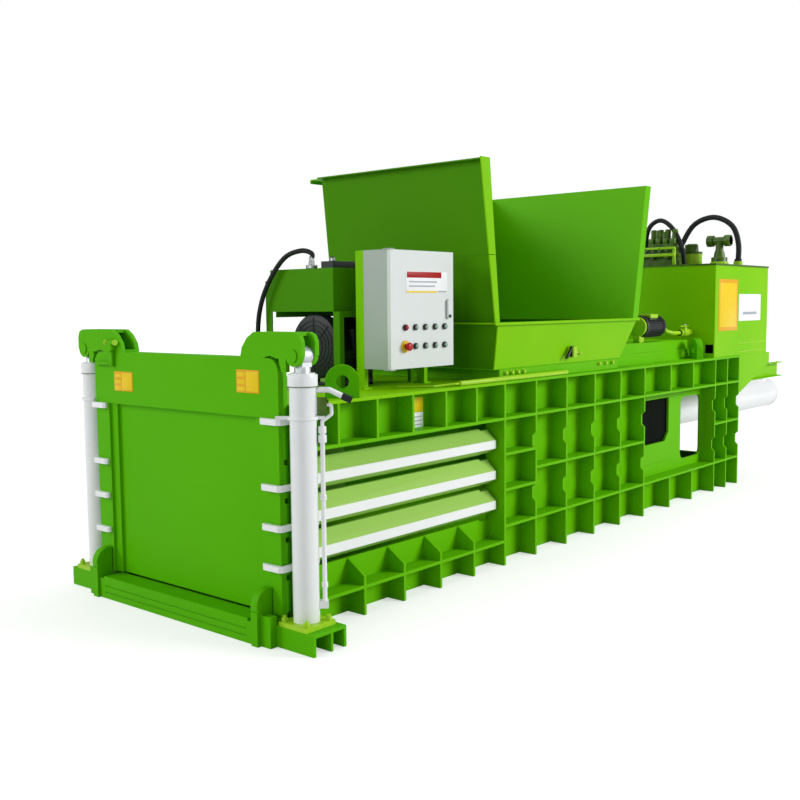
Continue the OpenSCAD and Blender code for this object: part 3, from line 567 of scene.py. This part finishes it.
class BALER_OT_hopper_fittings(Operator):
    """Make the collar bolts, and the sensor bar with its lever on the leaning feed panel"""

    bl_idname = "baler.hopper_fittings"
    bl_label = "Hopper fittings"

    def execute(self, context):
        across = context.scene.baler_parts.bolt_across
        bm = bmesh.new()
        for x in (1744, 1804, 1864, 1925, 2790, 2875, 2960):
            add_bolt(bm, (x, -636, 1080), (x, -652, 1080), across)
        piece("collar_bolts", bm, "leaf", "frame")
        bm = bmesh.new()
        add_tube(bm, ((2392, -674, 1196), (2376, -676, 1178), (2350, -676, 1150), (2336, -672, 1136)), 9, 12)
        add_box(bm, (2384, -684, 1140), (2432, -668, 1206), 3)
        piece("sensor_bar", bm, "ink", "frame")
        bm = bmesh.new()
        add_rod(bm, (2424, -678, 1170), (2470, -684, 1162), 9)
        add_rod(bm, (2462, -683, 1163), (2474, -685, 1161), 14)
        piece("sensor_lever", bm, "leaf", "frame")
        return {"FINISHED"}


def add_fins(bm, x0, x1, y, z, inner, outer, count):
    """Cooling fins around a motor that lies along x."""
    for i in range(count):
        fin = add_box(bm, (x0, y - 2, z + inner), (x1, y + 2, z + outer))
        turn = Matrix.Rotation(2 * math.pi * i / count, 3, "X")
        bmesh.ops.rotate(bm, cent=at(x0, y, z), matrix=turn, verts=fin)


class BALER_OT_front_unit(Operator):
    """Make the finned motor, its cowl, the fittings and the hose of the front power unit"""

    bl_idname = "baler.front_unit"
    bl_label = "Front unit"

    def execute(self, context):
        fins = context.scene.baler_parts.motor_fins
        y, z = FRONT_MOTOR_Y, FRONT_MOTOR_Z
        bm = bmesh.new()
        cowl = ((0, 0), (0, 60), (4, 64), (4, 150), (10, 166), (20, 172), (62, 172), (62, 150), (330, 132),
                (330, 0))
        add_turned(bm, (838, y, z), (1168, y, z), cowl, 64)
        add_fins(bm, 902, 1178, y, z, 128, 150, fins)
        pump = ((-10, 0), (-10, 150), (4, 150), (12, 110), (52, 104), (52, 0))
        add_turned(bm, (1178, y, z), (1230, y, z), pump, 64)
        for x in (930, 1110):
            add_box(bm, (x, -178, DECK), (x + 40, -120, 1136), 3)
            add_box(bm, (x, 44, DECK), (x + 40, 102, 1136), 3)
            add_box(bm, (x, -178, DECK), (x + 40, 102, DECK + 16), 3)
        piece("front_motor_body", bm, "black", "frame", ["front_motor"])
        bm = bmesh.new()
        for radius in (36, 60, 84, 108, 132):
            add_ring(bm, (842, y, z), (838.5, y, z), radius + 5, radius)
        for i in range(8):
            spoke = add_box(bm, (838.5, y - 4, z + 20), (842, y + 4, z + 150))
            turn = Matrix.Rotation(math.pi * i / 4, 3, "X")
            bmesh.ops.rotate(bm, cent=at(842, y, z), matrix=turn, verts=spoke)
        piece("cowl_grille", bm, "black", "frame")
        bm = bmesh.new()
        add_box(bm, (960, -212, 1230), (1100, -182, 1340), 6)
        add_box(bm, (966, -184, 1236), (1094, -150, 1334), 3)
        for x in (976, 1084):
            for height in (1246, 1324):
                add_rod(bm, (x, -212, height), (x, -216, height), 5)
        piece("terminal_box", bm, "black", "frame")
        bm = bmesh.new()
        lead = ((1010, -196, 1340), (1010, -196, 1370), (990, -196, 1404), (960, -200, 1424),
                (930, -200, 1432))
        add_tube(bm, lead, 9)
        piece("motor_lead", bm, "hose", "frame")
        bm = bmesh.new()
        add_ring(bm, (830, -45, 1656), (830, -45, 1674), 30, 12)
        swivel = ((0, 14), (0, 19), (20, 19), (22, 16), (44, 16), (44, 14))
        add_turned(bm, (830, -45, 1672), (830, -45, 1716), swivel, 6)
        add_ring(bm, (832, -196, 1690), (832, -196, 1706), 17, 12)
        piece("front_hose_fitting", bm, "steel", "frame")
        bm = bmesh.new()
        way = ((830, -45, 1700), (830, -45, 1735), (812, 20, 1750), (786, 120, 1712), (772, 232, 1580),
               (770, 302, 1430), (770, 322, 1250), (770, 322, DECK))
        add_tube(bm, way, 13)
        piece("front_hose_run", bm, "hose", "frame", ["front_hose"])
        return {"FINISHED"}


class BALER_OT_rear_motor(Operator):
    """Make the finned motor and its pump on the ram cover, the valve's nuts and the lever's nut"""

    bl_idname = "baler.rear_motor"
    bl_label = "Rear motor"

    def execute(self, context):
        fins = context.scene.baler_parts.motor_fins
        y, z = REAR_MOTOR_Y, REAR_MOTOR_Z
        bm = bmesh.new()
        shell = ((0, 0), (0, 76), (6, 78), (24, 78), (24, 68), (262, 68), (262, 78), (284, 78), (290, 72),
                 (290, 0))
        add_turned(bm, (3690, y, z), (3980, y, z), shell, 48)
        add_fins(bm, 3714, 3952, y, z, 66, 78, fins)
        neck = ((-2, 0), (-2, 62), (8, 62), (14, 40), (30, 36), (30, 0))
        add_turned(bm, (3980, y, z), (4010, y, z), neck, 40)
        piece("rear_motor_body", bm, "black", "frame", ["rear_motor"])
        bm = bmesh.new()
        pump = ((0, 0), (0, 62), (5, 70), (24, 70), (30, 60), (30, 0))
        add_turned(bm, (3660, y, z), (3690, y, z), pump, 40)
        add_box(bm, (3660, -475, 1178), (3730, -425, 1232), 3)
        add_box(bm, (3760, -510, 1352), (3880, -400, 1380), 5)
        piece("rear_pump", bm, "leaf", "frame")
        bm = bmesh.new()
        add_box(bm, (3766, -504, 1330), (3874, -406, 1354), 2)
        for x in (3772, 3868):
            for side in (-500, -410):
                add_rod(bm, (x, side, 1380), (x, side, 1384), 4)
        piece("rear_terminal_box", bm, "valve", "frame")
        bm = bmesh.new()
        nut = ((0, 14), (0, 29), (14, 29), (20, 24), (20, 14))
        for x in (4300, 4472):
            add_turned(bm, (x, PIPE_Y, PIPE_Z), (x + 20, PIPE_Y, PIPE_Z), nut, 6)
        for x in (4352, 4420):
            add_ring(bm, (x, PIPE_Y, PIPE_Z), (x + 8, PIPE_Y, PIPE_Z), 33, 28)
        collar = ((0, 10), (0, 18), (12, 18), (20, 12), (20, 10))
        add_turned(bm, (VALVE_X, PIPE_Y, 1255), (VALVE_X, PIPE_Y, 1276), collar, 6)
        piece("valve_nuts", bm, "leaf", "frame")
        bm = bmesh.new()
        dome = ((0, 0), (0, 11), (8, 11), (11, 8), (11, 0))
        add_turned(bm, (VALVE_X, PIPE_Y, 1286), (VALVE_X, PIPE_Y, 1298), dome, 6)
        piece("lever_nut", bm, "steel", "lever")
        return {"FINISHED"}


class BALER_OT_tank_top(Operator):
    """Make the filler heads, valve bank, hoses and fittings on the rear tank"""

    bl_idname = "baler.tank_top"
    bl_label = "Tank top"

    def execute(self, context):
        z = TANK_TOP
        bm = bmesh.new()
        for y0, y1 in ((-620, -572), (-480, -432)):
            way = ((0, 0), (0, 34), (8, 45), (20, 45), (24, 36), (28, 45), (40, 45), (48, 34), (48, 0))
            add_turned(bm, (FILLER_X, y0, z + 190), (FILLER_X, y1, z + 190), way, 32)
        add_rod(bm, (FILLER_X, -574, z + 190), (FILLER_X, -478, z + 190), 31, 3)
        stem = ((0, 44), (30, 40), (60, 30), (118, 30), (118, 0))
        add_turned(bm, (FILLER_X, FILLER_Y, z + 62), (FILLER_X, FILLER_Y, z + 180), stem, 32)
        piece("filler_tee", bm, "valve", "frame")
        bm = bmesh.new()
        foot = ((0, 0), (0, 72), (12, 72), (12, 64), (40, 60), (62, 46), (62, 0))
        add_turned(bm, (FILLER_X, FILLER_Y, z), (FILLER_X, FILLER_Y, z + 62), foot, 40)
        for i in range(6):
            angle = math.pi * i / 3
            x, y = FILLER_X + 64 * math.cos(angle), FILLER_Y + 64 * math.sin(angle)
            add_bolt(bm, (x, y, z + 12), (x, y, z + 22), 7)
        piece("filler_foot", bm, "leaf", "frame")
        bm = bmesh.new()
        add_box(bm, (4542, -312, z + 124), (4562, 52, z + 142), 3)
        add_box(bm, (4542, -312, z + 68), (4562, 52, z + 92), 3)
        add_box(bm, (4556, -312, z + 2), (4576, -290, z + 136), 3)
        add_box(bm, (4556, 30, z + 2), (4576, 52, z + 136), 3)
        for y in (-300, -180, -60, 40):
            add_bolt(bm, (4542, y, z + 133), (4534, y, z + 133), 7)
        add_ring(bm, (FILLER_X, -300, z + 4), (FILLER_X, -300, z + 96), 78, 72)
        add_ring(bm, (5309, -516, z), (5309, -516, z + 40), 36, 20)
        piece("valve_rails", bm, "leaf", "frame")
        bm = bmesh.new()
        for y in (-262, -202, -142, -82):
            add_box(bm, (4604, y - 22, z + 166), (4716, y + 22, z + 214), 4)
            add_rod(bm, (4660, y, z + 212), (4660, y, z + 286), 22, 4, 24)
            add_ring(bm, (4660, y, z + 224), (4660, y, z + 232), 25, 21)
            add_ring(bm, (4660, y, z + 262), (4660, y, z + 270), 25, 21)
        head = ((0, 0), (0, 80), (16, 80), (16, 50), (70, 46), (80, 36), (80, 0))
        add_turned(bm, (FILLER_X, -300, z + 96), (FILLER_X, -300, z + 176), head, 40)
        for y in (-240, -120, 0):
            add_rod(bm, (4576, y, z + 64), (4548, y, z + 64), 15, 3, 24)
        piece("valve_bank", bm, "valve", "frame")
        bm = bmesh.new()
        for y in (-516, 40):
            add_ring(bm, (5309, y, z), (5309, y, z + 60), 29, 20)
        add_tube(bm, ((5309, -516, z), (5309, -516, z + 190), (5309, -455, z + 340), (5309, -300, z + 414),
                      (5309, -130, z + 362), (5309, -20, z + 200), (5309, 38, z + 70), (5309, 40, z)), 22, 20)
        add_tube(bm, ((4660, -20, z + 100), (4660, -18, z + 240), (4660, -60, z + 330), (4660, -150, z + 358),
                      (4660, -250, z + 280), (4660, -325, z + 130), (4660, -345, z)), 18, 18)
        add_rod(bm, (4800, -20, z), (4800, -20, z + 190), 10)
        piece("tank_hoses", bm, "hose", "frame", ["rear_hoses"])
        bm = bmesh.new()
        for y in (-226, -166, -106, -46):
            add_ring(bm, (4598, y, z + 120), (4584, y, z + 120), 13, 6)
        add_rod(bm, (4760, -200, z + 60), (4800, -200, z + 60), 12, 2)
        add_rod(bm, (4800, -20, z + 186), (4800, -20, z + 214), 24, 4)
        piece("gauge_and_plugs", bm, "steel", "frame")
        return {"FINISHED"}


class BALER_OT_cylinder_fittings(Operator):
    """Make the weld beads, port plug and end bolts of the main cylinder"""

    bl_idname = "baler.cylinder_fittings"
    bl_label = "Cylinder fittings"

    def execute(self, context):
        bm = bmesh.new()
        for x in (5020, 7336):
            add_ring(bm, (x, 0, MAIN_Z), (x + 14, 0, MAIN_Z), MAIN_R + 3, MAIN_R - 2, 64)
        piece("weld_beads", bm, "white", "frame")
        bm = bmesh.new()
        for i in range(8):
            angle = math.pi * (i + 0.5) / 4
            y, z = 92 * math.cos(angle), MAIN_Z + 92 * math.sin(angle)
            add_bolt(bm, (7372, y, z), (7388, y, z), 10)
        piece("end_bolts", bm, "steel", "frame")
        bm = bmesh.new()
        add_turned(bm, (7225, 0, 690), (7225, 0, 702), ((0, 0), (0, 26), (6, 26), (12, 20), (12, 0)), 6)
        piece("port_plug", bm, "steel", "frame")
        return {"FINISHED"}


class BALER_OT_stage(Operator):
    """Make the floor, the lights, the sky and the camera"""

    bl_idname = "baler.stage"
    bl_label = "Stage"

    def execute(self, context):
        scene = context.scene
        scene.view_settings.view_transform = "Standard"
        make_floor()
        make_sky(scene)
        make_lamps(scene)
        make_camera(scene, scene.baler_view)
        return {"FINISHED"}


def make_floor():
    """A pale matt floor that keeps the shadow near the machine and runs out to white."""
    bm = bmesh.new()
    bmesh.ops.create_grid(bm, x_segments=1, y_segments=1, size=60)
    mesh = bpy.data.meshes.new("floor")
    bm.to_mesh(mesh)
    bm.free()
    floor = bpy.data.objects.new("floor", mesh)
    bpy.context.scene.collection.objects.link(floor)
    mat = bpy.data.materials.new("pale_floor")
    mat.use_nodes = True
    tree = mat.node_tree
    tree.nodes.clear()
    path = node(tree, "ShaderNodeLightPath")
    rays = {0: path.outputs["Is Camera Ray"], 1: path.outputs["Is Glossy Ray"]}
    seen = node(tree, "ShaderNodeMath", rays, operation="MAXIMUM")
    place = node(tree, "ShaderNodeTexCoord").outputs["Object"]
    away = node(tree, "ShaderNodeVectorMath", {0: place}, operation="LENGTH").outputs["Value"]
    rise = {"Value": away, "From Min": 6.0, "From Max": 14.0, "To Min": FLOOR_NEAR, "To Max": 1.0}
    white = node(tree, "ShaderNodeMapRange", rise)
    factors = {0: seen.outputs[0], 1: white.outputs["Result"]}
    glow = node(tree, "ShaderNodeMath", factors, operation="MULTIPLY")
    plain = node(tree, "ShaderNodeBsdfDiffuse", {"Color": (FLOOR_TONE, FLOOR_TONE, FLOOR_TONE, 1)})
    light = node(tree, "ShaderNodeEmission", {"Color": (1, 1, 1, 1), "Strength": glow.outputs[0]})
    both = node(tree, "ShaderNodeAddShader", {0: plain.outputs[0], 1: light.outputs[0]})
    node(tree, "ShaderNodeOutputMaterial", {"Surface": both.outputs[0]})
    mesh.materials.append(mat)


def make_sky(scene):
    """Even pale surroundings, pure white where the camera sees them or looks through glass."""
    world = bpy.data.worlds.new("studio")
    scene.world = world
    world.use_nodes = True
    tree = world.node_tree
    tree.nodes.clear()
    path = node(tree, "ShaderNodeLightPath")
    rays = {0: path.outputs["Is Camera Ray"], 1: path.outputs["Is Transmission Ray"]}
    seen = node(tree, "ShaderNodeMath", rays, operation="MAXIMUM")
    strength = node(tree, "ShaderNodeMapRange", {"Value": seen.outputs[0], "To Min": SKY, "To Max": 1.0})
    sky = node(tree, "ShaderNodeBackground", {"Color": (1, 1, 1, 1), "Strength": strength.outputs["Result"]})
    node(tree, "ShaderNodeOutputWorld", {"Surface": sky.outputs[0]})


def make_lamps(scene):
    """A broad key from the operator side and the rear, a top panel and two fills on the gate side."""
    for name, place, aim, size, power in (
        ("key", (9.0, -18.0, 8.0), (0, 0, 0.6), (10, 7), 3600),
        ("top", (0.5, 0.5, 10.0), (0, 0, 0.6), (10, 6), 380),
        ("gate_fill", (-14.0, 9.5, 8.0), (0, 0, 0.8), (8, 6), 1120),
        ("gate_soft", (-20.0, -3.0, 4.0), (0, 0, 0.8), (8, 5), 560),
    ):
        lamp = bpy.data.lights.new(name, "AREA")
        lamp.shape = "RECTANGLE"
        lamp.size, lamp.size_y = size
        lamp.energy = power
        obj = bpy.data.objects.new(name, lamp)
        obj.location = place
        obj.rotation_mode = "QUATERNION"
        obj.rotation_quaternion = (Vector(aim) - Vector(place)).to_track_quat("-Z", "Y")
        scene.collection.objects.link(obj)


def make_camera(scene, view):
    """The photograph's camera."""
    yaw, pitch, roll = (math.radians(a) for a in (view.yaw, view.pitch, view.roll))
    ahead = Vector((math.cos(yaw) * math.cos(pitch), math.sin(yaw) * math.cos(pitch), math.sin(pitch)))
    side = Vector((math.sin(yaw), -math.cos(yaw), 0))
    up = side.cross(ahead)
    right = side * math.cos(roll) + up * math.sin(roll)
    top = up * math.cos(roll) - side * math.sin(roll)
    lens = bpy.data.cameras.new("camera")
    lens.lens = view.lens
    lens.sensor_width = 36
    lens.clip_start, lens.clip_end = 0.1, 200
    camera = bpy.data.objects.new("camera", lens)
    turn = Matrix((right, top, -ahead)).transposed().to_4x4()
    camera.matrix_world = Matrix.Translation(at(*view.place)) @ turn
    scene.collection.objects.link(camera)
    scene.camera = camera


class BALER_PT_panel(Panel):
    """Sizes, colours and steps of the baler's dressing"""

    bl_idname = "BALER_PT_panel"
    bl_label = "Baler"
    bl_space_type = "VIEW_3D"
    bl_region_type = "UI"
    bl_category = "Baler"

    def draw(self, context):
        scene = context.scene
        for group in (scene.baler_paint, scene.baler_parts, scene.baler_view):
            for key in group.__annotations__:
                self.layout.prop(group, key)
        for step in STEPS:
            self.layout.operator(step.bl_idname)


STEPS = (BALER_OT_stage, BALER_OT_paint_frame, BALER_OT_gate_plates, BALER_OT_side_plates,
         BALER_OT_cabinet_face, BALER_OT_controls, BALER_OT_lift_fittings, BALER_OT_hopper_fittings,
         BALER_OT_front_unit, BALER_OT_rear_motor, BALER_OT_tank_top, BALER_OT_cylinder_fittings)
CLASSES = (BALER_PG_paint, BALER_PG_view, BALER_PG_parts, *STEPS, BALER_PT_panel)


def register():
    for cls in CLASSES:
        bpy.utils.register_class(cls)
    bpy.types.Scene.baler_paint = PointerProperty(type=BALER_PG_paint)
    bpy.types.Scene.baler_view = PointerProperty(type=BALER_PG_view)
    bpy.types.Scene.baler_parts = PointerProperty(type=BALER_PG_parts)


def unregister():
    del bpy.types.Scene.baler_parts
    del bpy.types.Scene.baler_view
    del bpy.types.Scene.baler_paint
    for cls in reversed(CLASSES):
        bpy.utils.unregister_class(cls)


def main():
    register()
    for step in STEPS:
        group, action = step.bl_idname.split(".")
        getattr(getattr(bpy.ops, group), action)()


if __name__ == "__main__":
    main()
